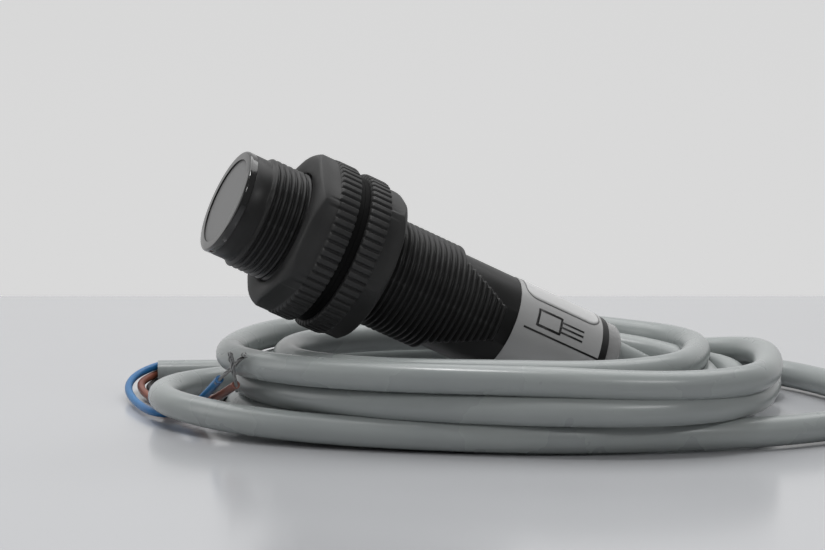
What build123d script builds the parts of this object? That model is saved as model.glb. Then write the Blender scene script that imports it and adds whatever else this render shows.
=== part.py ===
# Cylindrical M18 cable sensor with two clamp nuts, lying on its coiled cable.
# Row frame: +Z up with z = 0 on the table, +X along the table below the sensor's
# axis from its face to its cable end. The sensor's own stations are measured from
# the front face along its axis, "up" is square to the axis in the XZ plane and
# "side" points along -Y.
from build123d import *
import math
import os

os.makedirs("parts", exist_ok=True)

# ---- driving dimensions, millimetres and degrees ----
tilt = 25.3  # the axis falls this much towards the cable end
face_clearance = 0.05  # between turning or sliding faces
running_clearance = 0.05  # radial, shaft in hole
seat_clearance = 0.02  # radial, pressed or glued seats

# housing and thread
housing_end = 66.4
label_width = 15.6
label_end_gap = 1.4
label_start = housing_end - label_end_gap - label_width
runout_label_gap = 2.2
runout_length = 8.7
runout_end = label_start - runout_label_gap
full_thread_end = runout_end - runout_length
thread_start = 3.8
thread_pitch = 1.0
thread_depth = 0.6
crest_radius = 9.0
root_radius = crest_radius - thread_depth
crest_flat = 0.2
flank = 0.35
rear_radius = 8.15
bore_radius = 7.0
tongue_half_front = 7.5
tongue_half_rear = 2.8

# front bezel and window
bezel_rim = 1.2
bezel_radius = 8.45
bezel_edge = 0.4
spigot_end = 5.0
spigot_radius = bore_radius - seat_clearance
spigot_wall = 0.98
spigot_inner = spigot_radius - spigot_wall
ledge_width = 0.4
ledge_inner = spigot_inner - ledge_width
ledge_thickness = 0.8
window_margin = 0.03
window_radius = spigot_radius - window_margin
window_recess = 0.25
seal_section = 0.3
seal_station = 3.4

# optics
holder_end = 12.0
lens_wall = 0.43
lens_web = 0.65
lens_radius = (spigot_inner - seat_clearance - lens_wall - lens_web) / 2
lens_side = lens_radius + lens_web
lens_length = 1.8
lens_ledge = 0.45
channel_radius = lens_radius - lens_ledge
diode_gap = 0.5
diode_radius = channel_radius - diode_gap
diode_base_gap = 0.15
diode_base_radius = channel_radius - diode_base_gap
diode_length = 4.2
diode_base = 0.8

# circuit board
resin_cap_gap = 3.6
resin_depth = 4.3
resin_end = housing_end - resin_cap_gap
board_end = resin_end - resin_depth
board_margin = 0.7
board_width = 2 * (bore_radius - board_margin)
board_thickness = 1.0

# trimmer
trimmer_margin = 0.8
trimmer_reach = bore_radius - trimmer_margin
trimmer_axis_inset = 2.2
trimmer_offset = trimmer_axis_inset - trimmer_reach
trimmer_length = 6.0
trimmer_width = 4.6
trimmer_engagement = 2.4
trimmer_shaft_radius = 1.0
trimmer_head_radius = 1.5
trimmer_head_length = 1.9
trimmer_head_recess = 0.3
trimmer_slot_width = 0.5
trimmer_slot_depth = 0.6

# cable end
cable_axis_inset = 3.4
cable_offset = bore_radius - cable_axis_inset
cable_radius = 2.3
clamp_wall = 0.5
clamp_length = 1.4
grommet_wall = 0.58
cap_length = 2.8
cap_radius = 7.85
cap_edge = 0.8
cap_spigot = 1.8
cap_lip = 1.0
lead_radius = 0.65
lead_overlap = 5.5
lead_start = board_end - lead_overlap

# type label
label_thickness = 0.1
label_wrap = 350

# nuts and washers
washers_middle = 18.1
washer_thickness = 0.9
washer_radius = 12.2
washer_clearance = 0.1
nut_radius = 13.05
across_flats = 24.0
hex_thickness = 3.5
flange_thickness = 3.4
nut_chamfer = 1.0
serrations = 60
serration_radius = 0.34
front_nut_turn = 0
rear_nut_turn = -14

# loose cable
core_radius = 0.65
tip_radius = 0.45
strand_gap = 2 * cable_radius

# ---- sensor frame ----
axis_dir = Vector(math.cos(math.radians(tilt)), 0, -math.sin(math.radians(tilt)))
up_dir = Vector(math.sin(math.radians(tilt)), 0, math.cos(math.radians(tilt)))
overall_length = housing_end + cap_length

# the face is as far left of x = 0 as the cap's rim is right of it,
# and the cap's lower rim stands on the table
left_reach = bezel_edge * axis_dir.X - (bezel_radius - bezel_edge) * up_dir.X - bezel_edge
rim_station = overall_length - cap_edge
rim_radius = cap_radius - cap_edge
right_reach = rim_station * axis_dir.X + rim_radius * up_dir.X + cap_edge
head = Vector(
    -(left_reach + right_reach) / 2,
    0,
    -rim_station * axis_dir.Z + rim_radius * up_dir.Z + cap_edge,
)
sensor_axis = Axis(head, axis_dir)
section_plane = Plane(origin=head, x_dir=axis_dir, z_dir=(0, -1, 0))


def station(distance):
    return Plane(origin=head + axis_dir * distance, x_dir=up_dir, z_dir=axis_dir)


def place(distance, up=0.0):
    return head + axis_dir * distance + up_dir * up


# a disc or tube between two stations, about the axis or a line beside it
def barrel(start, end, outer, inner=0.0, up=0.0, side=0.0, mode=Mode.ADD):
    with BuildSketch(station(start)) as outline:
        with Locations((up, side)):
            Circle(outer)
            if inner > 0:
                Circle(inner, mode=Mode.SUBTRACT)
    extrude(outline.sketch, amount=end - start, mode=mode)


# a box by its first station, its length, and its spans up and to the side
def box(start, length, up_span, side_span, mode=Mode.ADD):
    with BuildSketch(station(start)) as outline:
        with Locations((sum(up_span) / 2, sum(side_span) / 2)):
            Rectangle(up_span[1] - up_span[0], side_span[1] - side_span[0])
    extrude(outline.sketch, amount=length, mode=mode)


# a closed profile of (station, radius) points turned about the axis
def turned(points, sweep_angle=360, mode=Mode.ADD):
    with BuildSketch(section_plane) as outline:
        with BuildLine():
            Polyline(*points, close=True)
        make_face()
    revolve(outline.sketch, axis=sensor_axis, revolution_arc=sweep_angle, mode=mode)


def save(piece, name):
    piece.part.label = name
    export_step(piece.part, f"parts/{name}.step")


# ---- housing: one revolved shell, its thread run-out cut away above and below ----
def thread_outline():
    points = []
    ridge = 2 * flank + crest_flat
    for index in range(int((runout_end - thread_start) / thread_pitch)):
        start = thread_start + index * thread_pitch
        points.append((start, root_radius))
        points.append((start + flank, crest_radius))
        points.append((start + flank + crest_flat, crest_radius))
        points.append((start + ridge, root_radius))
    return points


with BuildPart() as runout_cutter:
    barrel(full_thread_end, runout_end, crest_radius + 1, rear_radius)
    with BuildSketch(section_plane) as tongue:
        with BuildLine():
            Polyline(
                (full_thread_end, -tongue_half_front),
                (full_thread_end, tongue_half_front),
                (runout_end, tongue_half_rear),
                (runout_end, -tongue_half_rear),
                close=True,
            )
        make_face()
    extrude(tongue.sketch, amount=crest_radius + 2, both=True, mode=Mode.SUBTRACT)

with BuildPart() as housing:
    turned(
        [(bezel_rim, bore_radius), (bezel_rim, root_radius)]
        + thread_outline()
        + [
            (runout_end, root_radius),
            (runout_end, rear_radius),
            (housing_end, rear_radius),
            (housing_end, bore_radius),
        ]
    )
    add(runout_cutter.part, mode=Mode.SUBTRACT)
save(housing, "housing")

# ---- front: bezel, window and seal ----
seal_floor = spigot_radius - 2 * seal_section + seat_clearance
seal_groove = seal_section + 0.1
holder_start = bezel_rim + ledge_thickness
with BuildPart() as front_bezel:
    turned(
        [
            (0, window_radius + seat_clearance),
            (0, bezel_radius),
            (bezel_rim, bezel_radius),
            (bezel_rim, spigot_radius),
            (seal_station - seal_groove, spigot_radius),
            (seal_station - seal_groove, seal_floor),
            (seal_station + seal_groove, seal_floor),
            (seal_station + seal_groove, spigot_radius),
            (spigot_end, spigot_radius),
            (spigot_end, spigot_inner),
            (holder_start, spigot_inner),
            (holder_start, ledge_inner),
            (bezel_rim, ledge_inner),
            (bezel_rim, window_radius + seat_clearance),
        ]
    )
    rim_edges = front_bezel.edges().filter_by(GeomType.CIRCLE)
    fillet(rim_edges.group_by(sensor_axis)[0].sort_by(SortBy.RADIUS)[-1], bezel_edge)
save(front_bezel, "front_bezel")

with BuildPart() as front_window:
    barrel(window_recess, bezel_rim, window_radius)
save(front_window, "front_window")

with BuildPart() as bezel_seal:
    with BuildSketch(section_plane):
        with Locations((seal_station, seal_floor + seal_section)):
            Circle(seal_section - seat_clearance / 2)
    revolve(axis=sensor_axis)
save(bezel_seal, "bezel_seal")

# ---- optics: a two-bore holder, a lens in front of each diode ----
with BuildPart() as optics_holder:
    barrel(holder_start, spigot_end, spigot_inner - seat_clearance)
    barrel(spigot_end, holder_end, spigot_radius)
    for side in (-lens_side, lens_side):
        barrel(holder_start, holder_end, channel_radius, side=side, mode=Mode.SUBTRACT)
        lens_seat = holder_start + lens_length + 0.1
        barrel(holder_start, lens_seat, lens_radius + seat_clearance, side=side, mode=Mode.SUBTRACT)
save(optics_holder, "optics_holder")

for name, side in (("emitter_lens", lens_side), ("receiver_lens", -lens_side)):
    with BuildPart() as lens:
        lens_front = holder_start + 0.1
        barrel(lens_front, lens_front + lens_length, lens_radius, side=side)
        fillet(lens.edges().filter_by(GeomType.CIRCLE).group_by(sensor_axis)[0], 0.9)
    save(lens, name)

for name, side, tip_round in (
    ("emitter_led", lens_side, diode_radius - 0.2),
    ("receiver_photodiode", -lens_side, 0.3),
):
    with BuildPart() as diode:
        barrel(holder_end - diode_length, holder_end, diode_radius, side=side)
        fillet(diode.edges().filter_by(GeomType.CIRCLE).group_by(sensor_axis)[0], tip_round)
        barrel(holder_end - diode_base, holder_end, diode_base_radius, side=side)
    save(diode, name)

# ---- circuit board and what is soldered to it ----
board_top = board_thickness / 2
with BuildPart() as circuit_board:
    box(
        holder_end,
        board_end - holder_end,
        (-board_top, board_top),
        (-board_width / 2, board_width / 2),
    )
save(circuit_board, "circuit_board")

with BuildPart() as sensor_ic:
    box(20.0, 5.0, (board_top, board_top + 1.5), (-2.0, 2.0))
save(sensor_ic, "sensor_ic")

with BuildPart() as output_transistor:
    box(42.0, 6.5, (board_top, board_top + 1.7), (-1.75, 1.75))
save(output_transistor, "output_transistor")

with BuildPart() as voltage_regulator:
    box(32.0, 4.5, (board_top, board_top + 1.5), (-1.3, 1.3))
save(voltage_regulator, "voltage_regulator")

with BuildPart() as capacitors:
    for start, side in ((15.0, -3.0), (27.5, -3.0), (27.5, 3.0), (38.0, 3.2)):
        box(start, 3.2, (board_top, board_top + 1.6), (side - 0.8, side + 0.8))
save(capacitors, "capacitors")

with BuildPart() as resistors:
    for row in range(5):
        for side in (-3.5, 0.0, 3.5):
            box(16.0 + 6.0 * row, 1.6, (-board_top - 0.5, -board_top), (side - 0.4, side + 0.4))
save(resistors, "resistors")

with BuildPart() as protection_diodes:
    for side in (-3.6, 3.6):
        box(48.0, 4.3, (board_top, board_top + 2.0), (side - 1.3, side + 1.3))
save(protection_diodes, "protection_diodes")

with BuildPart() as indicator_led:
    box(board_end - 2.0, 1.6, (board_top, board_top + 0.7), (4.2, 5.0))
save(indicator_led, "indicator_led")

# ---- trimmer: its body under the board's rear end, its screw out through the cap ----
trimmer_end = board_end - 0.5
shaft_start = trimmer_end - trimmer_engagement + face_clearance
with BuildPart() as trimmer_body:
    box(
        trimmer_end - trimmer_length,
        trimmer_length,
        (-trimmer_reach, -board_top),
        (-trimmer_width / 2, trimmer_width / 2),
    )
    barrel(
        trimmer_end - trimmer_engagement,
        trimmer_end,
        trimmer_shaft_radius + running_clearance,
        up=trimmer_offset,
        mode=Mode.SUBTRACT,
    )
save(trimmer_body, "trimmer_body")

head_end = overall_length - trimmer_head_recess
head_start = head_end - trimmer_head_length
with BuildPart() as trimmer_screw:
    barrel(shaft_start, head_start, trimmer_shaft_radius, up=trimmer_offset)
    barrel(head_start, head_end, trimmer_head_radius, up=trimmer_offset)
    box(
        head_end - trimmer_slot_depth,
        trimmer_slot_depth,
        (trimmer_offset - 2, trimmer_offset + 2),
        (-trimmer_slot_width / 2, trimmer_slot_width / 2),
        mode=Mode.SUBTRACT,
    )
save(trimmer_screw, "trimmer_screw")

# ---- cable end: resin, clamp ring, grommet and the translucent cap ----
with BuildPart() as potting_resin:
    barrel(board_end, resin_end, spigot_radius)
    barrel(
        board_end,
        resin_end,
        trimmer_shaft_radius + running_clearance,
        up=trimmer_offset,
        mode=Mode.SUBTRACT,
    )
save(potting_resin, "potting_resin")

sheath_seat = cable_radius + seat_clearance
clamp_start = resin_end + 0.1
with BuildPart() as cable_clamp:
    barrel(
        clamp_start,
        clamp_start + clamp_length,
        cable_radius + clamp_wall,
        sheath_seat,
        up=cable_offset,
    )
save(cable_clamp, "cable_clamp")

cap_start = housing_end - cap_spigot
grommet_radius = cable_radius + grommet_wall
grommet_end = overall_length - cap_lip
with BuildPart() as cable_grommet:
    barrel(cap_start, grommet_end, grommet_radius, sheath_seat, up=cable_offset)
save(cable_grommet, "cable_grommet")

with BuildPart() as rear_cap:
    barrel(housing_end, overall_length, cap_radius)
    back_edges = rear_cap.edges().filter_by(GeomType.CIRCLE).group_by(sensor_axis)[-1]
    fillet(back_edges, cap_edge)
    barrel(cap_start, housing_end, spigot_radius)
    barrel(
        cap_start,
        grommet_end,
        grommet_radius + seat_clearance,
        up=cable_offset,
        mode=Mode.SUBTRACT,
    )
    barrel(grommet_end, overall_length, sheath_seat, up=cable_offset, mode=Mode.SUBTRACT)
    barrel(
        cap_start,
        overall_length,
        trimmer_head_radius + running_clearance,
        up=trimmer_offset,
        mode=Mode.SUBTRACT,
    )
save(rear_cap, "rear_cap")

# ---- the three leads from the board into the sheath ----
lead_height = board_top + lead_radius
for name, board_side, sheath_up, sheath_side in (
    ("lead_brown", -2.0, -0.45, -0.75),
    ("lead_black", 0.0, 0.85, 0.0),
    ("lead_blue", 2.0, -0.45, 0.75),
):
    with BuildPart() as lead:
        with BuildLine() as lead_path:
            side_dir = Vector(0, -1, 0)
            FilletPolyline(
                place(lead_start, lead_height) + side_dir * board_side,
                place(lead_start + 3.0, lead_height) + side_dir * board_side,
                place(resin_end - 1.5, cable_offset + sheath_up) + side_dir * sheath_side,
                place(resin_end, cable_offset + sheath_up) + side_dir * sheath_side,
                radius=1.4,
            )
        with BuildSketch(Plane(lead_path.line @ 0, z_dir=lead_path.line % 0)):
            Circle(lead_radius)
        sweep()
    save(lead, name)

# ---- wrap-round type label ----
with BuildPart() as type_label:
    label_inner = rear_radius + seat_clearance / 2
    turned(
        [
            (label_start, label_inner),
            (label_start, label_inner + label_thickness),
            (label_start + label_width, label_inner + label_thickness),
            (label_start + label_width, label_inner),
        ],
        sweep_angle=label_wrap,
    )
save(type_label, "type_label")


# ---- nuts and washers ----
# direction is -1 for a nut whose hexagon faces the front, 1 for one facing the cable
def nut(clamp_face, direction, turn):
    with BuildSketch(station(clamp_face)) as flange:
        Circle(nut_radius)
        with PolarLocations(nut_radius, serrations):
            Circle(serration_radius, mode=Mode.SUBTRACT)
    extrude(flange.sketch, amount=direction * flange_thickness)
    with BuildSketch(station(clamp_face + direction * flange_thickness)) as hexagon:
        RegularPolygon(across_flats / 2, 6, major_radius=False, rotation=turn)
    extrude(hexagon.sketch, amount=direction * hex_thickness)
    outer_face = clamp_face + direction * (flange_thickness + hex_thickness)
    turned(
        [
            (clamp_face, 0),
            (clamp_face, nut_radius),
            (outer_face - direction * nut_chamfer, nut_radius),
            (outer_face, nut_radius - nut_chamfer),
            (outer_face, 0),
        ],
        mode=Mode.INTERSECT,
    )
    barrel(
        min(clamp_face, outer_face),
        max(clamp_face, outer_face),
        crest_radius + running_clearance,
        mode=Mode.SUBTRACT,
    )


for side_name, direction, turn in (("front", -1, front_nut_turn), ("rear", 1, rear_nut_turn)):
    inner_face = washers_middle + direction * face_clearance / 2
    outer_face = inner_face + direction * washer_thickness
    with BuildPart() as washer:
        barrel(
            min(inner_face, outer_face),
            max(inner_face, outer_face),
            washer_radius,
            crest_radius + washer_clearance,
        )
    save(washer, f"{side_name}_washer")
    with BuildPart() as clamp_nut:
        nut(outer_face + direction * face_clearance, direction, turn)
    save(clamp_nut, f"{side_name}_nut")


# ---- the loose cable ----
# Arc radii of a cord's route: each arc is as large as its two runs allow.
def arc_radii(points):
    radii = []
    for before, corner, after in zip(points, points[1:], points[2:]):
        shorter = min((corner - before).length, (after - corner).length)
        half_turn = math.radians((corner - before).get_angle(after - corner) / 2)
        radii.append(0.45 * shorter / math.tan(half_turn))
    return radii


def cord(points, radius, name):
    radii = arc_radii(points)
    with BuildLine() as path:
        FilletPolyline(*points, radius=radii)
    with BuildSketch(Plane(path.line @ 0, z_dir=path.line % 0)) as section:
        Circle(radius)
    sweep(section.sketch, path=path.line)
    length = sum(edge.length for edge in path.line.edges())
    print(name, "length", round(length, 1), "radii", [round(value, 1) for value in radii])
    print(name, "section x length", round(math.pi * radius**2 * length, 1))


exit_points = [
    place(resin_end, cable_offset),
    place(73.8, cable_offset),
    Vector(50.4, 0.9, 2.4),
    Vector(61.9, 2.9, 2.4),
]
with BuildPart() as cable_lead:
    cord(exit_points, cable_radius, "cable_lead")
save(cable_lead, "cable_lead")

# Each level of the coil is an oval band one cable thick: its turn from +X, then the
# centre and half sizes of its outer edge and of its inner edge.
coil_levels = (
    (-21.6, (17.5, 0.0), (62.3, 36.3), (15.6, 0.6), (47.7, 24.7)),
    (-21.6, (14.9, -1.2), (45.8, 36.3), (15.7, 1.1), (35.7, 18.7)),
    (-24.6, (12.4, -0.9), (47.8, 36.8), (8.5, 3.0), (36.7, 17.7)),
)
with BuildPart() as cable_coil:
    for level, (turn, outer_centre, outer_half, inner_centre, inner_half) in enumerate(coil_levels):
        with BuildSketch(Plane.XY.offset(level * strand_gap)) as band:
            with Locations(outer_centre):
                Ellipse(*outer_half, rotation=turn)
            with Locations(inner_centre):
                Ellipse(*inner_half, rotation=turn, mode=Mode.SUBTRACT)
        extrude(band.sketch, amount=strand_gap)
save(cable_coil, "cable_coil")

tail_points = [
    Vector(0.5, 38.8, 2.35),
    Vector(-16.3, 42.9, 2.35),
    Vector(-31.9, 46.7, 2.35),
]
with BuildPart() as cable_tail:
    cord(tail_points, cable_radius, "cable_tail")
save(cable_tail, "cable_tail")

# The stripped end: three cores, each with a bare tinned tip as its last run.
core_routes = {
    "blue": (
        (-31.9, 46.7, 3.72),
        (-35.4, 45.6, 3.0),
        (-39.2, 38.6, 1.8),
        (-40.2, 27.9, 0.9),
        (-39.4, 15.2, 0.75),
        (-34.4, 12.9, 1.2),
        (-32.3, 8.9, 4.6),
        (-32.5, -1.1, 8.6),
        (-29.7, -6.8, 13.3),
    ),
    "brown": (
        (-31.9, 46.7, 2.35),
        (-35.3, 44.0, 1.8),
        (-37.0, 37.6, 1.3),
        (-36.6, 30.3, 0.75),
        (-35.5, 21.5, 0.75),
        (-32.3, 16.8, 1.5),
        (-30.9, 7.3, 4.2),
        (-30.8, -4.7, 8.2),
        (-32.2, -6.6, 13.7),
    ),
    "black": (
        (-31.9, 46.7, 0.98),
        (-34.2, 43.2, 0.9),
        (-35.3, 37.3, 1.0),
        (-34.8, 30.8, 0.75),
        (-33.1, 23.1, 0.75),
        (-30.2, 18.2, 1.5),
        (-28.2, 11.7, 2.9),
        (-27.0, 7.6, 3.2),
    ),
}
for color, route in core_routes.items():
    points = [Vector(*point) for point in route]
    with BuildPart() as core:
        cord(points[:-1], core_radius, f"core_{color}")
    save(core, f"core_{color}")
    tip_line = points[-1] - points[-2]
    with BuildPart() as tip:
        with BuildSketch(Plane(points[-2], z_dir=tip_line)):
            Circle(tip_radius)
        extrude(amount=tip_line.length)
    save(tip, f"tip_{color}")
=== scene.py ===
import bpy
import bmesh
import math
from mathutils import Vector, Matrix


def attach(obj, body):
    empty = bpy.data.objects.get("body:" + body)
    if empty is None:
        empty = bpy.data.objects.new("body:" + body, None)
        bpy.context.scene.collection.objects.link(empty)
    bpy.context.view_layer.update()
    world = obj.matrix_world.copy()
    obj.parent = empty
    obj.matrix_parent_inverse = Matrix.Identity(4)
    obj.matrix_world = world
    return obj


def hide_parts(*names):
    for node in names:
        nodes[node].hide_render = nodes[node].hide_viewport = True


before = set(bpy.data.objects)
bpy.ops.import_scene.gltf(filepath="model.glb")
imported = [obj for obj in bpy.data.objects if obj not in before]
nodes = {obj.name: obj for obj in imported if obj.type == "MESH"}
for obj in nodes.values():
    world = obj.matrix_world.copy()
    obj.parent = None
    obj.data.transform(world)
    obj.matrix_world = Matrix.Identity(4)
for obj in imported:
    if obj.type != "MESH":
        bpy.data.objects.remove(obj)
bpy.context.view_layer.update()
mm = 0.001

# The sensor's own line: stations run from its face towards the cable, up is square to it.
sensor = {"tilt": 25.3, "faceX": -31.087, "faceZ": 36.406}
tilt = math.radians(sensor["tilt"])
axisDir = Vector((math.cos(tilt), 0, -math.sin(tilt)))
upDir = Vector((math.sin(tilt), 0, math.cos(tilt)))
sideDir = Vector((0, -1, 0))
face = Vector((sensor["faceX"], 0, sensor["faceZ"]))


def at(station, up=0.0, side=0.0):
    return (face + axisDir * station + upDir * up + sideDir * side) * mm


def onBarrel(station, radius, angle):  # angle 0 is up, 90 the near side
    turn = math.radians(angle)
    return at(station, radius * math.cos(turn), radius * math.sin(turn))


# ---- camera ----
camera = {"focal": 100.0, "away": (-85.4, -344.8, 28.7), "heading": 18.6, "pitch": -6.5}


def addCamera():
    data = bpy.data.cameras.new("camera")
    data.lens = camera["focal"]
    data.sensor_width = 36.0
    data.clip_start = 0.01
    data.clip_end = 20.0
    cam = bpy.data.objects.new("camera", data)
    bpy.context.scene.collection.objects.link(cam)
    cam.location = (face + Vector(camera["away"])) * mm
    heading = math.radians(camera["heading"])
    pitch = math.radians(camera["pitch"])
    look = Vector((math.sin(heading) * math.cos(pitch), math.cos(heading) * math.cos(pitch), math.sin(pitch)))
    cam.rotation_euler = look.to_track_quat("-Z", "Y").to_euler()
    bpy.context.scene.camera = cam


addCamera()
print("camera placed")


# ---- small helpers for meshes and curves ----
def addObject(name, data):
    piece = bpy.data.objects.new(name, data)
    bpy.context.scene.collection.objects.link(piece)
    return piece


def meshFrom(name, points, faces, smooth=True):
    mesh = bpy.data.meshes.new(name)
    mesh.from_pydata([tuple(p) for p in points], [], faces)
    mesh.validate()
    tidy = bmesh.new()
    tidy.from_mesh(mesh)
    bmesh.ops.remove_doubles(tidy, verts=tidy.verts, dist=1e-6)
    bmesh.ops.recalc_face_normals(tidy, faces=tidy.faces)
    tidy.to_mesh(mesh)
    tidy.free()
    if smooth:
        mesh.shade_smooth()
    return addObject(name, mesh)


def tubeCurve(name, points, radius, resolution=8):
    curve = bpy.data.curves.new(name, "CURVE")
    curve.dimensions = "3D"
    spline = curve.splines.new("NURBS")
    spline.points.add(len(points) - 1)
    for knot, point in zip(spline.points, points):
        knot.co = (*point, 1.0)
    spline.order_u = 3
    spline.use_endpoint_u = True
    spline.resolution_u = resolution
    curve.bevel_depth = radius
    curve.bevel_resolution = 8
    curve.use_fill_caps = True
    return addObject(name, curve)


# ---- the cable: exit run, six loose oval turns, and the free tail ----
cable = {
    "diameter": 4.6,
    "length": 1.52,  # metres, from the cap to the cut
    "exitUp": 3.6,
    "exitStations": (62.8, 73.8),  # where the straight run begins inside and ends outside
    "capFace": 69.2,
    "stepsPerTurn": 24,
    "wobble": 0.006,
    "leftSquareness": 2.4,
    "firstPhase": 65,
    "lastPhase": 2135,
    "liftPhase": 1998,  # where the bottom turn lies on the stripped cores
    "liftHeight": 1.5,
    "liftSpread": 38,
    # each turn: centre x and y, half length, half width in front and behind, turn from +X,
    # squareness of its right end, sink of its right end, and last the height of its middle
    "turns": (
        (12.9, -1.0, 41.0, 25.2, 28.0, -22.0, 2.1, 0.0, 2.35),
        (14.9, -2.0, 36.8, 24.0, 22.4, -22.0, 2.1, 0.0, 6.95),
        (10.3, -4.4, 32.0, 21.0, 21.0, -21.0, 2.3, 0.5, 11.0),
        (12.4, -4.6, 43.0, 28.0, 37.0, -27.0, 3.0, 0.9, 11.2),
        (14.5, -2.7, 42.0, 30.2, 32.0, -30.0, 2.8, 0.0, 6.7),
        (16.4, -5.0, 59.2, 28.4, 32.2, -26.4, 1.6, 0.0, 2.35),
    ),
    # where each turn runs over into the next: phases across, then phases in height
    "changes": (
        (375, 450, 325, 372),
        (735, 830, 722, 810),
        (1088, 1200, 1070, 1185),
        (1435, 1535, 1440, 1525),
        (1805, 1935, 1850, 1960),
    ),
    # phase, spread and outward shift where one turn passes beside another at the same height
    "nudges": ((357, 24, -1.6), (420, 30, -1.8), (722, 34, -4.4), (1122, 34, 5.8), (1526, 44, -4.6)),
    "lead": (
        (47.0, 0.0, 3.0),
        (53.4, -1.6, 2.4),
        (59.6, -1.6, 2.35),
        (64.7, 2.1, 2.35),
        (66.6, 8.0, 2.35),
        (64.7, 13.9, 2.35),
        (59.6, 17.6, 2.35),
        (53.4, 17.9, 2.35),
    ),
    "tail": (
        (61.5, -35.0, 2.35),
        (71.0, -24.5, 2.35),
        (74.6, -12.0, 2.35),
        (74.6, 2.0, 2.35),
        (71.8, 15.4, 2.35),
        (61.6, 23.4, 2.35),
        (49.0, 27.4, 2.35),
        (36.8, 30.2, 2.35),
        (24.3, 33.4, 2.35),
        (10.3, 37.0, 2.35),
        (-1.9, 39.8, 2.35),
        (-16.3, 42.9, 2.35),
        (-31.9, 46.7, 2.35),
    ),
}


def ease(value, low, high):
    share = min(1.0, max(0.0, (value - low) / (high - low)))
    return share * share * (3 - 2 * share)


def coilPoint(phase):
    state = list(cable["turns"][0])
    for index, (acrossLow, acrossHigh, heightLow, heightHigh) in enumerate(cable["changes"]):
        following = cable["turns"][index + 1]
        across = ease(phase, acrossLow, acrossHigh)
        rise = ease(phase, heightLow, heightHigh)
        for item in range(len(state) - 1):
            state[item] += (following[item] - state[item]) * across
        state[-1] += (following[-1] - state[-1]) * rise
    centreX, centreY, halfLong, halfFront, halfBack, turn, rightSquareness, sink, height = state
    angle = math.radians(phase)
    along, over = math.cos(angle), math.sin(angle)
    power = 2 / (rightSquareness if along > 0 else cable["leftSquareness"])
    loose = 1 + cable["wobble"] * math.sin(2.3 * angle + 0.7)
    long = halfLong * loose * math.copysign(abs(along) ** power, along)
    short = (halfBack if over > 0 else halfFront) * loose * math.copysign(abs(over) ** power, over)
    outward = 0
    for middle, spread, shift in cable["nudges"]:
        outward += shift * math.exp(-(((phase - middle) / spread) ** 2))
    long, short = (side * (1 + outward / math.hypot(long, short)) for side in (long, short))
    turned = math.radians(turn)
    x = centreX + long * math.cos(turned) - short * math.sin(turned)
    y = centreY + long * math.sin(turned) + short * math.cos(turned)
    lift = cable["liftHeight"] * math.exp(-(((phase - cable["liftPhase"]) / cable["liftSpread"]) ** 2))
    return Vector((x, y, height + lift - sink * ease(along, 0.0, 0.55))) * mm


def cableRoute():
    route = [at(station, cable["exitUp"]) for station in cable["exitStations"]]
    route += [Vector(point) * mm for point in cable["lead"]]
    step = 360 / cable["stepsPerTurn"]
    count = int((cable["lastPhase"] - cable["firstPhase"]) / step)
    route += [coilPoint(cable["firstPhase"] + step * index) for index in range(count)]
    route += [Vector(point) * mm for point in cable["tail"]]
    return route


sheath = tubeCurve("cableSheath", cableRoute(), cable["diameter"] / 2 * mm, 6)
print("cable laid")


# ---- the stripped cores, each ending in a twist of tinned strands ----
cores = {
    "diameter": 1.3,
    "strands": 7,
    "strandRadius": 0.1,
    "twist": 1.5,  # turns of the strands along a tip
    "tipInside": 1.2,  # how far a tip starts inside its insulation
    "lengths": {"Blue": 0.055, "Brown": 0.055, "Black": 0.037},  # metres
    "routes": {
        "Blue": (
            (-31.9, 46.7, 3.72),
            (-35.4, 45.6, 3.0),
            (-39.2, 38.6, 1.8),
            (-40.2, 27.9, 0.9),
            (-39.4, 15.2, 0.75),
            (-34.4, 12.9, 1.2),
            (-32.3, 8.9, 4.6),
            (-32.5, -1.1, 8.6),
            (-29.7, -6.8, 13.3),
        ),
        "Brown": (
            (-31.9, 46.7, 2.35),
            (-35.3, 44.0, 1.8),
            (-37.0, 37.6, 1.3),
            (-36.6, 30.3, 0.75),
            (-35.5, 21.5, 0.75),
            (-32.3, 16.8, 1.5),
            (-30.9, 7.3, 4.2),
            (-30.8, -4.7, 8.2),
            (-32.2, -6.6, 13.7),
        ),
        "Black": (
            (-31.9, 46.7, 0.98),
            (-34.2, 43.2, 0.9),
            (-35.3, 37.3, 1.0),
            (-34.8, 30.8, 0.75),
            (-33.1, 23.1, 0.75),
            (-30.2, 18.2, 1.5),
            (-28.2, 11.7, 2.9),
            (-27.0, 7.6, 3.2),
        ),
    },
}


def squareTo(direction):
    first = direction.cross(Vector((0, 0, 1)))
    if first.length < 0.2:
        first = direction.cross(Vector((1, 0, 0)))
    first.normalize()
    return first, direction.cross(first).normalized()


def ringTube(points, faces, centres, radius, sides=8):  # adds a closed tube to a mesh being made
    start = len(points)
    for index, centre in enumerate(centres):
        ahead = centres[min(index + 1, len(centres) - 1)] - centres[max(index - 1, 0)]
        first, second = squareTo(ahead.normalized())
        for side in range(sides):
            angle = 2 * math.pi * side / sides
            points.append(centre + (first * math.cos(angle) + second * math.sin(angle)) * radius)
    for index in range(len(centres) - 1):
        for side in range(sides):
            after = (side + 1) % sides
            low = start + index * sides
            faces.append((low + side, low + after, low + sides + after, low + sides + side))
    last = start + (len(centres) - 1) * sides
    faces.append(tuple(start + side for side in reversed(range(sides))))
    faces.append(tuple(last + side for side in range(sides)))


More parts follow.
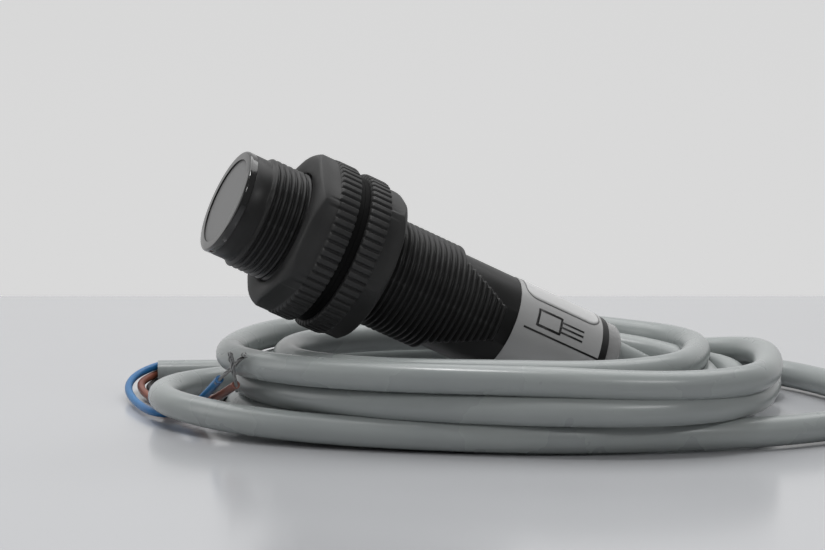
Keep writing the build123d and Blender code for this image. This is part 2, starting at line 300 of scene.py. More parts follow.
def tinnedTip(name, root, end):
    points, faces = [], []
    direction = end - root
    first, second = squareTo(direction.normalized())
    start = root - direction.normalized() * cores["tipInside"] * mm
    steps = 22
    for strand in range(cores["strands"]):
        centres = []
        for step in range(steps + 1):
            share = step / steps
            spread = 0.0 if strand == 0 else (0.2 + 0.12 * share * share * (strand % 3)) * mm
            angle = 2 * math.pi * (strand / (cores["strands"] - 1) + cores["twist"] * share)
            reach = share * (1 - 0.025 * (strand % 4))
            centre = start + (end - start) * reach
            centres.append(centre + (first * math.cos(angle) + second * math.sin(angle)) * spread)
        ringTube(points, faces, centres, cores["strandRadius"] * mm)
    return meshFrom(name, points, faces)


coreCurves, tips = {}, {}
for color, route in cores["routes"].items():
    places = [Vector(point) * mm for point in route]
    coreCurves[color] = tubeCurve(f"core{color}", places[:-1], cores["diameter"] / 2 * mm, 8)
    tips[color] = tinnedTip(f"tinned{color}", places[-2], places[-1])
print("cores and tips laid")


# ---- housing: helical thread with its two run-out tongues ----
housing = {
    "front": 1.2,
    "threadStart": 3.8,
    "fullThreadEnd": 38.5,
    "runoutEnd": 47.2,
    "end": 66.4,
    "pitch": 1.0,
    "crest": 9.0,
    "root": 8.4,
    "rear": 8.15,
    "bore": 7.0,
    "columns": 216,
    "tongueFront": 7.5,
    "tongueRear": 2.8,
    "fadeIn": 0.7,
    "frontEdge": 0.12,
    "rearEdge": 0.15,
    "tongueEdge": 0.12,
}
# one pitch of the thread: share of the pitch, share of the depth
threadProfile = ((0.0, 0.0), (0.12, 0.25), (0.33, 0.95), (0.40, 1.0), (0.58, 1.0), (0.65, 0.95), (0.87, 0.25))


def housingRadius(station, angle, depthShare):
    height = housing["crest"] - housing["root"]
    start = housing["threadStart"]
    radius = housing["root"] + height * depthShare * ease(station, start, start + housing["fadeIn"])
    if station <= housing["fullThreadEnd"]:
        return radius
    share = (station - housing["fullThreadEnd"]) / (housing["runoutEnd"] - housing["fullThreadEnd"])
    half = housing["tongueFront"] + (housing["tongueRear"] - housing["tongueFront"]) * share
    across = abs(radius * math.cos(angle))
    keep = 1 - ease(across, half - housing["tongueEdge"], half + housing["tongueEdge"])
    return housing["rear"] + (radius - housing["rear"]) * keep


def housingMesh():
    columns = housing["columns"]
    points, faces = [], []

    def ring(station, radius):
        start = len(points)
        for column in range(columns):
            angle = 360 * column / columns
            points.append(onBarrel(station, radius, angle))
        return start

    def join(low, high):
        for column in range(columns):
            after = (column + 1) % columns
            faces.append((low + column, low + after, high + after, high + column))

    plain = [
        ring(housing["front"], housing["bore"]),
        ring(housing["front"], housing["root"] - housing["frontEdge"]),
        ring(housing["front"] + housing["frontEdge"], housing["root"]),
        ring(housing["threadStart"] - 0.4, housing["root"]),
        ring(housing["threadStart"], housing["root"]),
    ]
    for low, high in zip(plain, plain[1:]):
        join(low, high)
    rowsPerPitch = len(threadProfile)
    length = housing["runoutEnd"] - housing["threadStart"]
    pitches = int(length / housing["pitch"]) + 3
    rows = []
    for row in range(pitches * rowsPerPitch):
        within, depthShare = threadProfile[row % rowsPerPitch]
        base = housing["threadStart"] - housing["pitch"] + (row // rowsPerPitch + within) * housing["pitch"]
        line = []
        for column in range(columns):
            station = base + housing["pitch"] * column / columns
            angle = 2 * math.pi * column / columns
            clamped = min(max(station, housing["threadStart"]), housing["runoutEnd"])
            depth = depthShare if clamped == station else 0.0
            radius = housingRadius(clamped, angle, depth)
            if clamped >= housing["runoutEnd"]:
                rooted = abs(radius * math.cos(angle)) < housing["tongueRear"]
                stepped = station > housing["runoutEnd"] + 0.4 * housing["pitch"]  # closes the step behind a tongue
                radius = housing["root"] if rooted and not stepped else housing["rear"]
            line.append(len(points))
            points.append(onBarrel(clamped, radius, math.degrees(angle)))
        rows.append(line)
    for row in range(len(rows) - 1):
        for column in range(columns):
            after = column + 1
            if after < columns:
                quad = (rows[row][column], rows[row][after], rows[row + 1][after], rows[row + 1][column])
            else:  # the helix joins one pitch further on
                beyond = row + rowsPerPitch
                if beyond + 1 >= len(rows):
                    continue
                quad = (rows[row][column], rows[beyond][0], rows[beyond + 1][0], rows[row + 1][column])
            faces.append(quad)
    back = [
        ring(housing["runoutEnd"], housing["rear"]),
        ring(housing["end"] - housing["rearEdge"], housing["rear"]),
        ring(housing["end"], housing["rear"] - housing["rearEdge"]),
        ring(housing["end"], housing["bore"]),
    ]
    for low, high in zip(back, back[1:]):
        join(low, high)
    join(back[-1], plain[0])
    piece = meshFrom("threadedBarrel", points, faces)
    print("threaded barrel", len(piece.data.polygons), "faces")
    return piece


barrel = housingMesh()


# ---- clamp nuts: hexagon, serrated flange and bore as one turned grid ----
nuts = {
    "radius": 13.05,
    "acrossFlats": 24.0,
    "bore": 9.05,
    "flange": 3.4,
    "hexagon": 3.5,
    "serrations": 60,
    "serrationDepth": 0.42,
    "columns": 720,
    "flangeEdge": 0.3,
    "endRound": 0.45,
    "chamferLength": 1.5,
    "chamferDepth": 1.15,
    "chamferSteps": 9,
    "cornerSharpness": 14.0,  # how crisply the hexagon's corners meet the round envelope
    "mouthWider": 0.45,
    "clampPlane": 18.1,
    "turns": {"front": 0, "rear": -14},  # degrees each hexagon is turned round the barrel
}


def hexRadius(angle, turn):
    within = (math.degrees(angle) - turn) % 60 - 30
    flat = nuts["acrossFlats"] / 2 / math.cos(math.radians(within))
    sharp = nuts["cornerSharpness"]
    return (flat**-sharp + nuts["radius"] ** -sharp) ** (-1 / sharp) * 2 ** (0.35 / sharp)


def serratedRadius(angle):
    wave = 0.5 + 0.5 * math.cos(angle * nuts["serrations"])
    return nuts["radius"] - nuts["serrationDepth"] * (1 - min(1.0, wave * 2.5)) ** 0.7


def nutMesh(name, clampFace, direction, turn):
    total = nuts["flange"] + nuts["hexagon"]
    edge, roundness = nuts["flangeEdge"], nuts["endRound"]
    rows = [(0.0, "bore", 0.0), (0.0, "inner", 0.0)]
    rows += [(0.0, "serrated", edge), (edge * 0.3, "serrated", edge * 0.3), (edge, "serrated", 0.0)]
    rows += [(nuts["flange"] - 0.35, "serrated", 0.0), (nuts["flange"] - 0.05, "serrated", 0.06)]
    rows += [(nuts["flange"], "blend", 0.0), (nuts["flange"] + 0.12, "hexagon", 0.0)]
    rows += [(total - nuts["chamferLength"], "hexagon", 0.0)]
    for step in range(1, nuts["chamferSteps"] + 1):
        depth = nuts["chamferLength"] * step / nuts["chamferSteps"]
        past = max(0.0, depth - nuts["chamferLength"] + roundness) / roundness
        inset = roundness * (1 - math.sqrt(1 - past**2))
        rows.append((total - nuts["chamferLength"] + depth, "rounded", inset))
    rows += [(total, "mouth", 0.0), (total - 0.5, "bore", 0.0)]
    columns = nuts["columns"]
    points, faces = [], []

    def rounding(depth):  # 0 where the end chamfer starts, 1 at the end face
        return max(0.0, depth - total + nuts["chamferLength"]) / nuts["chamferLength"]

    for depth, kind, inset in rows:
        for column in range(columns):
            angle = 2 * math.pi * column / columns
            hexagonal = hexRadius(angle, turn)
            serrated = serratedRadius(angle)
            radius = {
                "bore": nuts["bore"],
                "inner": nuts["radius"] - 1.3,
                "mouth": nuts["bore"] + nuts["mouthWider"],
                "serrated": serrated,
                "blend": min(serrated, hexagonal + 0.1),
                "hexagon": min(hexagonal, nuts["radius"]),
                "rounded": min(hexagonal, nuts["radius"] - nuts["chamferDepth"] * rounding(depth) ** 1.5),
            }[kind] - inset
            points.append(onBarrel(clampFace + direction * depth, radius, math.degrees(angle)))
    count = len(rows)
    for row in range(count):
        beyond = (row + 1) % count
        for column in range(columns):
            after = (column + 1) % columns
            low, high = row * columns, beyond * columns
            faces.append((low + column, low + after, high + after, high + column))
    return meshFrom(name, points, faces)


washerStep = 0.025 + 0.9 + 0.05  # half the gap between the washers, a washer, and its gap to the nut
frontNut = nutMesh("serratedNutFront", nuts["clampPlane"] - washerStep, -1, nuts["turns"]["front"])
rearNut = nutMesh("serratedNutRear", nuts["clampPlane"] + washerStep, 1, nuts["turns"]["rear"])
print("nuts turned")


# ---- smooth copies of turned CAD pieces that show ----
def smoothCopy(node, name, sharp=32):
    mesh = nodes[node].data.copy()
    mesh.name = name
    tidy = bmesh.new()
    tidy.from_mesh(mesh)
    bmesh.ops.remove_doubles(tidy, verts=tidy.verts, dist=2e-6)
    for edge in tidy.edges:
        edge.smooth = not (len(edge.link_faces) == 2 and edge.calc_face_angle(0) > math.radians(sharp))
    for polygon in tidy.faces:
        polygon.smooth = True
    tidy.to_mesh(mesh)
    tidy.free()
    mesh.materials.clear()
    return addObject(name, mesh)


bezel = smoothCopy("front_bezel", "bezelRing", 40)
window = smoothCopy("front_window", "filterWindow")
cap = smoothCopy("rear_cap", "endCap", 40)
screw = smoothCopy("trimmer_screw", "adjustingScrew")
frontWasher = smoothCopy("front_washer", "plainWasherFront")
rearWasher = smoothCopy("rear_washer", "plainWasherRear")
film = smoothCopy("type_label", "labelFilm")


# ---- printed marks on the label, as thin films wrapped round the barrel ----
label = {
    "front": 49.4,
    "width": 15.6,
    "radius": 8.26,
    "lift": 0.02,
    "panelEdge": 42.5,  # degrees from the top to the panel's near edge
    "panelFar": -75,
    "panelMargin": 0.9,
    "panelCorner": 2.2,
    "outline": 0.22,
    "skin": 0.012,
    "ruleAngle": 81,
    "ruleWidth": 0.32,
}


def wrapped(name, spans, lift):  # spans: (station, low angle, high angle) columns joined in order
    points, faces = [], []
    rows = 28
    radius = label["radius"] + lift
    for station, low, high in spans:
        for row in range(rows + 1):
            points.append(onBarrel(station, radius, low + (high - low) * row / rows))
    for column in range(len(spans) - 1):
        for row in range(rows):
            first = column * (rows + 1) + row
            faces.append((first, first + 1, first + rows + 2, first + rows + 1))
    piece = meshFrom(name, points, faces)
    skin = piece.modifiers.new("thickness", "SOLIDIFY")
    skin.thickness = label["skin"] * mm
    skin.offset = 0
    return piece


def roundedSpans(start, end, low, high, corner):
    degreesPerMm = 180 / (math.pi * label["radius"])
    spans = []
    steps = 9
    for step in range(steps + 1):
        angle = math.pi / 2 * step / steps
        inset = corner * (1 - math.sin(angle)) * degreesPerMm
        spans.append((start + corner * (1 - math.cos(angle)), low + inset, high - inset))
    for step in range(steps + 1):
        angle = math.pi / 2 * (1 - step / steps)
        inset = corner * (1 - math.sin(angle)) * degreesPerMm
        spans.append((end - corner * (1 - math.cos(angle)), low + inset, high - inset))
    return spans


def bar(name, start, end, angle, width, lift):
    half = width / 2 * 180 / (math.pi * label["radius"])
    return wrapped(name, [(start, angle - half, angle + half), (end, angle - half, angle + half)], lift)


panelStart = label["front"] + label["panelMargin"]
panelEnd = label["front"] + label["width"] - 0.5
outlineAngle = label["outline"] * 180 / (math.pi * label["radius"])
panelBack = wrapped(
    "panelOutline",
    roundedSpans(panelStart, panelEnd, label["panelFar"], label["panelEdge"], label["panelCorner"]),
    label["lift"],
)
panelFront = wrapped(
    "panelWhite",
    roundedSpans(
        panelStart + label["outline"],
        panelEnd - label["outline"],
        label["panelFar"] + outlineAngle,
        label["panelEdge"] - outlineAngle,
        label["panelCorner"] - label["outline"],
    ),
    label["lift"] + 0.02,
)
ruleSpan = (label["front"] + 1.5, label["front"] + label["width"])
marks = [bar("ruleLong", *ruleSpan, label["ruleAngle"], label["ruleWidth"], label["lift"])]
# a plain three-wire diagram: a box and three connection lines
diagram = {"start": 53.0, "end": 57.2, "low": 54, "high": 73, "wireEnd": 61.5, "width": 0.42}
for number, angle in enumerate((diagram["low"], diagram["high"])):
    marks.append(bar(f"diagramSide{number}", diagram["start"], diagram["end"], angle, diagram["width"], label["lift"]))
for number, station in enumerate((diagram["start"], diagram["end"])):
    spans = [
        (station - diagram["width"] / 2, diagram["low"] - 1, diagram["high"] + 1),
        (station + diagram["width"] / 2, diagram["low"] - 1, diagram["high"] + 1),
    ]
    marks.append(wrapped(f"diagramEnd{number}", spans, label["lift"]))
for number in range(3):
    angle = diagram["low"] + 4 + 6 * number
    width = diagram["width"] * 0.8
    marks.append(bar(f"diagramWire{number}", diagram["end"], diagram["wireEnd"], angle, width, label["lift"]))


def joined(name, pieces):
    points, faces = [], []
    depsgraph = bpy.context.evaluated_depsgraph_get()
    for piece in pieces:
        mesh = bpy.data.meshes.new_from_object(piece.evaluated_get(depsgraph))
        offset = len(points)
        points += [vertex.co.copy() for vertex in mesh.vertices]
        faces += [tuple(offset + index for index in polygon.vertices) for polygon in mesh.polygons]
        bpy.data.objects.remove(piece)
        bpy.data.meshes.remove(mesh)
    return meshFrom(name, points, faces)


markPrint = joined("labelMarks", marks)
print("label printed")


# ---- shader groups shared by the finishes ----
def shaderGroup(name, inputs, outputs):
    group = bpy.data.node_groups.new(name, "ShaderNodeTree")
    for title, kind, value in inputs:
        socket = group.interface.new_socket(title, in_out="INPUT", socket_type=kind)
        if value is not None:
            socket.default_value = value
    for title, kind in outputs:
        group.interface.new_socket(title, in_out="OUTPUT", socket_type=kind)
    return group, group.nodes.new("NodeGroupInput"), group.nodes.new("NodeGroupOutput")


def mapRange(tree, value, low, high, toLow, toHigh):
    node = tree.nodes.new("ShaderNodeMapRange")
    tree.links.new(value, node.inputs["Value"])
    for title, item in (("From Min", low), ("From Max", high), ("To Min", toLow), ("To Max", toHigh)):
        if hasattr(item, "is_output"):
            tree.links.new(item, node.inputs[title])
        else:
            node.inputs[title].default_value = item
    return node.outputs["Result"]


def noiseNode(tree, place, scale, detail):
    node = tree.nodes.new("ShaderNodeTexNoise")
    tree.links.new(place, node.inputs["Vector"])
    if hasattr(scale, "is_output"):
        tree.links.new(scale, node.inputs["Scale"])
    else:
        node.inputs["Scale"].default_value = scale
    node.inputs["Detail"].default_value = detail
    return node.outputs["Fac"]


def mixColor(tree, factor, low, high):
    node = tree.nodes.new("ShaderNodeMix")
    node.data_type = "RGBA"
    tree.links.new(factor, node.inputs["Factor"])
    for socket, item in ((node.inputs[6], low), (node.inputs[7], high)):
        if hasattr(item, "is_output"):
            tree.links.new(item, socket)
        else:
            socket.default_value = item
    return node.outputs[2]


def makeGrain():  # fine moulding grain and its slower tone drift
    tree, enter, leave = shaderGroup(
        "fineGrain",
        (("Place", "NodeSocketVector", None), ("Grain", "NodeSocketFloat", 2500.0), ("Drift", "NodeSocketFloat", 90.0)),
        (("Height", "NodeSocketFloat"), ("Tone", "NodeSocketFloat")),
    )
    fine = noiseNode(tree, enter.outputs["Place"], enter.outputs["Grain"], 3.0)
    slow = noiseNode(tree, enter.outputs["Place"], enter.outputs["Drift"], 4.0)
    tree.links.new(fine, leave.inputs["Height"])
    tree.links.new(mapRange(tree, slow, 0.3, 0.7, 0.0, 1.0), leave.inputs["Tone"])
    return tree


def makeEdgeHighlight():  # outer edges painted a little lighter as a highlight, broken up by noise
    tree, enter, leave = shaderGroup(
        "edgePaintedHighlight",
        (("Place", "NodeSocketVector", None), ("Start", "NodeSocketFloat", 0.52), ("Full", "NodeSocketFloat", 0.62)),
        (("Mask", "NodeSocketFloat"),),
    )
    geometry = tree.nodes.new("ShaderNodeNewGeometry")
    edge = mapRange(tree, geometry.outputs["Pointiness"], enter.outputs["Start"], enter.outputs["Full"], 0.0, 1.0)
    broken = mapRange(tree, noiseNode(tree, enter.outputs["Place"], 700.0, 3.0), 0.35, 0.65, 0.15, 1.0)
    product = tree.nodes.new("ShaderNodeMath")
    product.operation = "MULTIPLY"
    tree.links.new(edge, product.inputs[0])
    tree.links.new(broken, product.inputs[1])
    tree.links.new(product.outputs[0], leave.inputs["Mask"])
    return tree


grainGroup, edgeHighlightGroup = makeGrain(), makeEdgeHighlight()


def grey(level):  # screen brightness 0..255 to a linear grey
    share = level / 255
    linear = share / 12.92 if share <= 0.04045 else ((share + 0.055) / 1.055) ** 2.4
    return (linear, linear, linear, 1.0)


def screen(red, green, blue):
    return (grey(red)[0], grey(green)[0], grey(blue)[0], 1.0)


# dark and light ends of the tone, the roughness ends, grain per metre, bump in mm, drift per metre
# the edge tones on bodyBlack, bezelGloss and nutBlack paint a highlight along outer edges and thread crests
finishes = {
    "bodyBlack": dict(
        dark=grey(32), light=grey(42), rough=(0.34, 0.42),
        grain=2600, bump=0.004, drift=110, edgeHighlight=grey(58), spec=0.22,
    ),
    "bezelGloss": dict(
        dark=grey(14), light=grey(20), rough=(0.10, 0.17),
        grain=1500, bump=0.0006, drift=160, edgeHighlight=grey(34), spec=0.5, coat=0.4,
    ),
    # the window's own grey is raised to hold a painted reflection of the pale surroundings
    "windowGreyAndReflection": dict(
        dark=grey(118), light=grey(123), rough=(0.42, 0.48),
        grain=3200, bump=0.0012, drift=70, spec=0.4,
    ),
    "nutBlack": dict(
        dark=grey(35), light=grey(47), rough=(0.50, 0.62),
        grain=1900, bump=0.008, drift=140, edgeHighlight=grey(58), spec=0.4,
    ),
    # black washer plastic, darkened far below the nuts' black as painted shade for the shaded gap between the nuts
    "washerBlackAndShade": dict(
        dark=grey(4), light=grey(7), rough=(0.6, 0.7),
        grain=1700, bump=0.006, drift=150, spec=0.12,
    ),
    "sheathGrey": dict(
        dark=screen(147, 152, 152), light=screen(156, 161, 160), rough=(0.22, 0.32),
        grain=1300, bump=0.003, drift=60, spec=0.5,
    ),
    "coreBlue": dict(
        dark=screen(14, 92, 150), light=screen(28, 116, 174), rough=(0.34, 0.44),
        grain=1600, bump=0.003, drift=120, spec=0.5,
    ),
    "coreBrown": dict(
        dark=screen(108, 56, 40), light=screen(136, 76, 56), rough=(0.36, 0.46),
        grain=1600, bump=0.003, drift=120, spec=0.5,
    ),
    "coreBlack": dict(
        dark=grey(20), light=grey(30), rough=(0.36, 0.46),
        grain=1600, bump=0.003, drift=120, spec=0.5,
    ),
    "tinnedCopper": dict(
        dark=grey(128), light=grey(178), rough=(0.26, 0.42),
        grain=2400, bump=0.004, drift=900, metal=1.0, spec=0.5,
    ),
    "labelSilver": dict(
        dark=grey(166), light=grey(178), rough=(0.34, 0.42),
        grain=2800, bump=0.0015, drift=50, metal=0.2, spec=0.5,
    ),
    "labelWhite": dict(
        dark=grey(200), light=grey(210), rough=(0.38, 0.46),
        grain=2600, bump=0.0012, drift=60, spec=0.45,
    ),
    "labelInk": dict(
        dark=grey(16), light=grey(28), rough=(0.42, 0.52),
        grain=3000, bump=0.001, drift=400, spec=0.4,
    ),
    "labelGreyInk": dict(
        dark=grey(116), light=grey(134), rough=(0.42, 0.5),
        grain=3000, bump=0.001, drift=300, spec=0.4,
    ),
    "capSmoke": dict(
        dark=grey(168), light=grey(186), rough=(0.20, 0.30),
        grain=1400, bump=0.002, drift=120, spec=0.5, clear=0.35, glow=1.5,
    ),
    "screwBrass": dict(
        dark=screen(150, 118, 62), light=screen(188, 154, 92), rough=(0.22, 0.38),
        grain=1800, bump=0.003, drift=600, metal=1.0, spec=0.5,
    ),
    "sealRubber": dict(
        dark=grey(22), light=grey(32), rough=(0.7, 0.82),
        grain=2400, bump=0.006, drift=200, spec=0.3,
    ),
    "lensClear": dict(
        dark=grey(222), light=grey(240), rough=(0.03, 0.08),
        grain=900, bump=0.0005, drift=90, spec=0.5, clear=0.9,
    ),
    "boardGreen": dict(
        dark=screen(14, 72, 40), light=screen(24, 96, 54), rough=(0.26, 0.38),
        grain=1300, bump=0.004, drift=300, spec=0.5,
    ),
    "chipBlack": dict(
        dark=grey(30), light=grey(42), rough=(0.5, 0.62),
        grain=2800, bump=0.006, drift=300, spec=0.4,
    ),
    "ceramicTan": dict(
        dark=screen(150, 118, 78), light=screen(178, 146, 104), rough=(0.34, 0.48),
        grain=2600, bump=0.003, drift=500, spec=0.5,
    ),
    "caseBlue": dict(
        dark=screen(24, 74, 148), light=screen(38, 96, 176), rough=(0.32, 0.42),
        grain=2200, bump=0.003, drift=200, spec=0.5,
    ),
    "castResin": dict(
        dark=screen(70, 62, 54), light=screen(92, 82, 72), rough=(0.12, 0.24),
        grain=400, bump=0.01, drift=180, spec=0.5, coat=0.3,
    ),
    "crimpMetal": dict(
        dark=grey(150), light=grey(190), rough=(0.24, 0.4),
        grain=2200, bump=0.003, drift=500, metal=1.0, spec=0.5,
    ),
}


def makeFinish(name, look):
    material = bpy.data.materials.new(name)
    material.use_nodes = True
    tree = material.node_tree
    shader = tree.nodes["Principled BSDF"]
    place = tree.nodes.new("ShaderNodeTexCoord").outputs["Object"]
    grain = tree.nodes.new("ShaderNodeGroup")
    grain.node_tree = grainGroup
    tree.links.new(place, grain.inputs["Place"])
    grain.inputs["Grain"].default_value = look["grain"]
    grain.inputs["Drift"].default_value = look["drift"]
    color = mixColor(tree, grain.outputs["Tone"], look["dark"], look["light"])
    # painted highlight: outer edges and crests are lightened towards the edge tone
    if "edgeHighlight" in look:
        edgeHighlight = tree.nodes.new("ShaderNodeGroup")
        edgeHighlight.node_tree = edgeHighlightGroup
        tree.links.new(place, edgeHighlight.inputs["Place"])
        color = mixColor(tree, edgeHighlight.outputs["Mask"], color, look["edgeHighlight"])
    tree.links.new(color, shader.inputs["Base Color"])
    tree.links.new(mapRange(tree, grain.outputs["Tone"], 0.0, 1.0, *look["rough"]), shader.inputs["Roughness"])
    bump = tree.nodes.new("ShaderNodeBump")
    bump.inputs["Distance"].default_value = look["bump"] * mm
    bump.inputs["Strength"].default_value = 1.0
    tree.links.new(grain.outputs["Height"], bump.inputs["Height"])
    tree.links.new(bump.outputs["Normal"], shader.inputs["Normal"])
    shader.inputs["Metallic"].default_value = look.get("metal", 0.0)
    shader.inputs["Specular IOR Level"].default_value = look["spec"]
    shader.inputs["Coat Weight"].default_value = look.get("coat", 0.0)
    shader.inputs["Coat Roughness"].default_value = 0.08
    shader.inputs["Transmission Weight"].default_value = look.get("clear", 0.0)
    if "glow" in look:  # light spreads inside a milky piece
        shader.inputs["Subsurface Weight"].default_value = 0.5
        shader.inputs["Subsurface Scale"].default_value = look["glow"] * mm
        shader.inputs["Subsurface Radius"].default_value = (1.0, 1.0, 1.0)
    return material


materials = {name: makeFinish(name, look) for name, look in finishes.items()}
print(len(materials), "finishes made")


def dress(piece, finish):
    piece.data.materials.clear()
    piece.data.materials.append(materials[finish])


# ---- chip legs: one leg instanced in two rows along each packaged chip ----
legs = {
    "thickness": 0.15,
    "width": 0.35,
    "reach": 0.55,
    "chips": {"sensor_ic": ("chipLegsSensor", 8, 0.6), "output_transistor": ("chipLegsOutput", 4, 1.5)},
}
board = {"thickness": 1.0, "stations": {"sensor_ic": (20.0, 5.0, 2.0), "output_transistor": (42.0, 6.5, 1.75)}}


def geometryTree(name, material):
    tree = bpy.data.node_groups.new(name, "GeometryNodeTree")
    for title, kind in (("Rows", "NodeSocketInt"), ("Pitch", "NodeSocketFloat"), ("Leg", "NodeSocketVector")):
        tree.interface.new_socket(title, in_out="INPUT", socket_type=kind)
    tree.interface.new_socket("Geometry", in_out="OUTPUT", socket_type="NodeSocketGeometry")
    make = tree.nodes.new
    enter, leave = make("NodeGroupInput"), make("NodeGroupOutput")
    line, leg = make("GeometryNodeMeshLine"), make("GeometryNodeMeshCube")
    spread, step = make("GeometryNodeInstanceOnPoints"), make("ShaderNodeCombineXYZ")
    real, paint = make("GeometryNodeRealizeInstances"), make("GeometryNodeSetMaterial")
    paint.inputs["Material"].default_value = material
    link = tree.links.new
    link(enter.outputs["Pitch"], step.inputs["X"])
    link(enter.outputs["Rows"], line.inputs["Count"])
    link(step.outputs["Vector"], line.inputs["Offset"])
    link(enter.outputs["Leg"], leg.inputs["Size"])
    link(line.outputs["Mesh"], spread.inputs["Points"])
    link(leg.outputs["Mesh"], spread.inputs["Instance"])
    link(spread.outputs["Instances"], real.inputs["Geometry"])
    link(real.outputs["Geometry"], paint.inputs["Geometry"])
    link(paint.outputs["Geometry"], leave.inputs["Geometry"])
    return tree


def placeOnAxis(mesh, station, up, side):
    turn = Matrix((axisDir, upDir, sideDir)).transposed()
    mesh.transform(Matrix.Translation(at(station, up, side)) @ turn.to_4x4())


legTree = geometryTree("chipLegRow", materials["crimpMetal"])


def legRow(count, pitch):
    carrier = addObject("legCarrier", bpy.data.meshes.new("legCarrier"))
    modifier = carrier.modifiers.new("legs", "NODES")
    modifier.node_group = legTree
    sockets = {item.name: item.identifier for item in legTree.interface.items_tree if item.in_out == "INPUT"}
    modifier[sockets["Rows"]] = count
    modifier[sockets["Pitch"]] = pitch * mm
    modifier[sockets["Leg"]] = (legs["width"] * mm, legs["thickness"] * mm, legs["reach"] * mm)
    depsgraph = bpy.context.evaluated_depsgraph_get()
    mesh = bpy.data.meshes.new_from_object(carrier.evaluated_get(depsgraph))
    bpy.data.objects.remove(carrier)
    return mesh


def makeLegs(node, name, count, pitch):
    start, length, halfWide = board["stations"][node]
    rows = []
    for side in (-1, 1):
        mesh = legRow(count, pitch)
        first = start + (length - pitch * (count - 1)) / 2
        up = board["thickness"] / 2 + legs["thickness"] / 2 + 0.02
        placeOnAxis(mesh, first, up, side * (halfWide + legs["reach"] / 2 + 0.02))
        rows.append(addObject(name + "Row", mesh))
    return joined(name, rows)


legPieces = [makeLegs(node, *values) for node, values in legs["chips"].items()]
print("chip legs placed")


# ---- finishes on pieces and on the CAD nodes that stay ----
wearing = (
    (barrel, "bodyBlack"),
    (bezel, "bezelGloss"),
    (window, "windowGreyAndReflection"),
    (cap, "capSmoke"),
    (screw, "screwBrass"),
    (frontWasher, "washerBlackAndShade"),
    (rearWasher, "washerBlackAndShade"),
    (frontNut, "nutBlack"),
    (rearNut, "nutBlack"),
    (film, "labelSilver"),
    (panelBack, "labelGreyInk"),
    (panelFront, "labelWhite"),
    (markPrint, "labelInk"),
    (sheath, "sheathGrey"),
)
for piece, finish in wearing:
    dress(piece, finish)
for color, piece in coreCurves.items():
    dress(piece, f"core{color}")
    dress(tips[color], "tinnedCopper")
for piece in legPieces:
    dress(piece, "crimpMetal")
nodeFinish = {
    "bezel_seal": "sealRubber",
    "optics_holder": "bodyBlack",
    "emitter_lens": "lensClear",
    "receiver_lens": "lensClear",
    "emitter_led": "lensClear",
    "receiver_photodiode": "chipBlack",
    "circuit_board": "boardGreen",
    "sensor_ic": "chipBlack",
    "output_transistor": "chipBlack",
    "voltage_regulator": "chipBlack",
    "capacitors": "ceramicTan",
    "resistors": "chipBlack",
    "protection_diodes": "chipBlack",
    "indicator_led": "lensClear",
    "trimmer_body": "caseBlue",
    "potting_resin": "castResin",
    "cable_clamp": "crimpMetal",
    "cable_grommet": "sealRubber",
    "lead_brown": "coreBrown",
    "lead_black": "coreBlack",
    "lead_blue": "coreBlue",
}
for node, finish in nodeFinish.items():
    for slot in nodes[node].material_slots:
        slot.link = "OBJECT"
        slot.material = materials[finish]
print("finishes assigned")


# ---- floor, backdrop and light ----
studio = {
    "floorSize": 6.0,
    "floorDark": screen(184, 185, 188),
    "floorLight": screen(193, 194, 197),
    "floorRough": (0.13, 0.18),
    "tableEdge": 0.53,  # metres from the camera, as is the wall
    "wall": 1.9,
    "tableLevel": -0.0002,
    "lipLevel": -0.006,
    "wallSpan": (-0.8, 2.2),
    "wallTones": (grey(214), grey(218)),
    "wallGlow": 0.72,
    "sky": grey(226),
    "world": 0.28,
    # each lamp: place, what it points at, size, power
    "lamps": {
        "softTop": ((0.08, 0.28, 0.7), (0.0, 0.0, 0.0), (1.1, 0.6), 4.3),
        "leftWindow": ((-0.8, 0.1, 0.35), (0.0, 0.0, 0.03), (0.4, 0.5), 1.0),
        "keyTop": ((-0.12, -0.05, 0.62), (0.0, 0.0, 0.02), (0.09, 0.09), 0.9),
        "frontFill": ((0.1, -0.8, 0.7), (0.02, 0.0, 0.0), (0.35, 0.1), 1.6),
    },
}


def stagePlane(name, corners, finish):
    piece = meshFrom(name, [Vector(corner) for corner in corners], [(0, 1, 2, 3)], smooth=False)
    piece.data.materials.append(finish)
    return piece


def floorFinish():
    tones = dict(dark=studio["floorDark"], light=studio["floorLight"], rough=studio["floorRough"])
    return makeFinish("tableTop", dict(tones, grain=60, bump=0.0, drift=3, spec=0.5))


def backdropFinish():
    material = bpy.data.materials.new("paleWall")
    material.use_nodes = True
    tree = material.node_tree
    shader = tree.nodes["Principled BSDF"]
    place = tree.nodes.new("ShaderNodeTexCoord").outputs["Object"]
    color = mixColor(tree, noiseNode(tree, place, 0.6, 1.0), *studio["wallTones"])
    tree.links.new(color, shader.inputs["Base Color"])
    tree.links.new(color, shader.inputs["Emission Color"])
    shader.inputs["Emission Strength"].default_value = studio["wallGlow"]
    shader.inputs["Roughness"].default_value = 0.9
    return material


def towards(distance, across, height):  # a place on the camera's own heading
    heading = math.radians(camera["heading"])
    ahead = Vector((math.sin(heading), math.cos(heading), 0))
    beside = Vector((math.cos(heading), -math.sin(heading), 0))
    start = (face + Vector(camera["away"])) * mm
    place = start + ahead * distance + beside * across
    return Vector((place.x, place.y, height))


def stageQuad(name, nearer, farther, halfWide, low, high, finish):
    corners = (
        towards(nearer, -halfWide, low),
        towards(nearer, halfWide, low),
        towards(farther, halfWide, high),
        towards(farther, -halfWide, high),
    )
    return stagePlane(name, corners, finish)


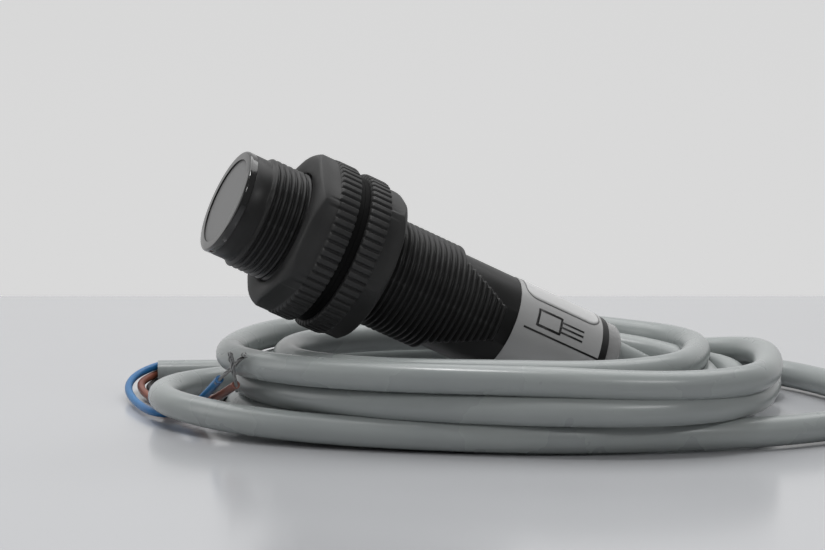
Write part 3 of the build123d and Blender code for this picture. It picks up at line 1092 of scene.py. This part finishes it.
half, edge, level = studio["floorSize"] / 2, studio["tableEdge"], studio["tableLevel"]
stageQuad("tableTop", -half, edge, half, level, level, floorFinish())
stageQuad("tableLip", edge, edge + 0.02, half, level, studio["lipLevel"], floorFinish())
stageQuad("backWall", studio["wall"], studio["wall"], half, *studio["wallSpan"], backdropFinish())


def areaLight(name, location, target, size, power):
    data = bpy.data.lights.new(name, "AREA")
    data.shape = "RECTANGLE"
    data.size, data.size_y = size
    data.energy = power
    lamp = bpy.data.objects.new(name, data)
    bpy.context.scene.collection.objects.link(lamp)
    lamp.location = location
    lamp.rotation_euler = (Vector(target) - Vector(location)).to_track_quat("-Z", "Y").to_euler()


for name, lamp in studio["lamps"].items():
    areaLight(name, *lamp)
world = bpy.data.worlds.new("studio")
world.use_nodes = True
world.node_tree.nodes["Background"].inputs["Color"].default_value = studio["sky"]
world.node_tree.nodes["Background"].inputs["Strength"].default_value = studio["world"]
bpy.context.scene.world = world
bpy.context.scene.view_settings.view_transform = "Standard"
print("studio lit")


# ---- bodies, with the CAD nodes that the new pieces stand for hidden ----
riders = (
    (barrel, "sensor_body", "housing", "black_plastic"),
    (bezel, "sensor_body", "front_bezel", "gloss_black"),
    (window, "sensor_body", "front_window", "window_grey"),
    (cap, "sensor_body", "rear_cap", "cap_grey"),
    (film, "sensor_body", "type_label", "label_silver"),
    (screw, "trimmer_screw", "trimmer_screw", "brass"),
    (frontWasher, "front_washer", "front_washer", "nut_black"),
    (rearWasher, "rear_washer", "rear_washer", "nut_black"),
    (frontNut, "front_nut", "front_nut", "nut_black"),
    (rearNut, "rear_nut", "rear_nut", "nut_black"),
)
for piece, body, node, slot in riders:
    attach(piece, body)
    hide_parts(node)
for piece in (panelBack, panelFront, markPrint):
    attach(piece, "sensor_body")
for piece in legPieces:
    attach(piece, "sensor_body")
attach(sheath, "sensor_body")
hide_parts("cable_lead", "cable_coil", "cable_tail")
for color, length in cores["lengths"].items():
    core, tip = coreCurves[color], tips[color]
    for piece, node, slot in ((core, "core", f"core_{color.lower()}"), (tip, "tip", "tinned")):
        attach(piece, "sensor_body")
        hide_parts(f"{node}_{color.lower()}")
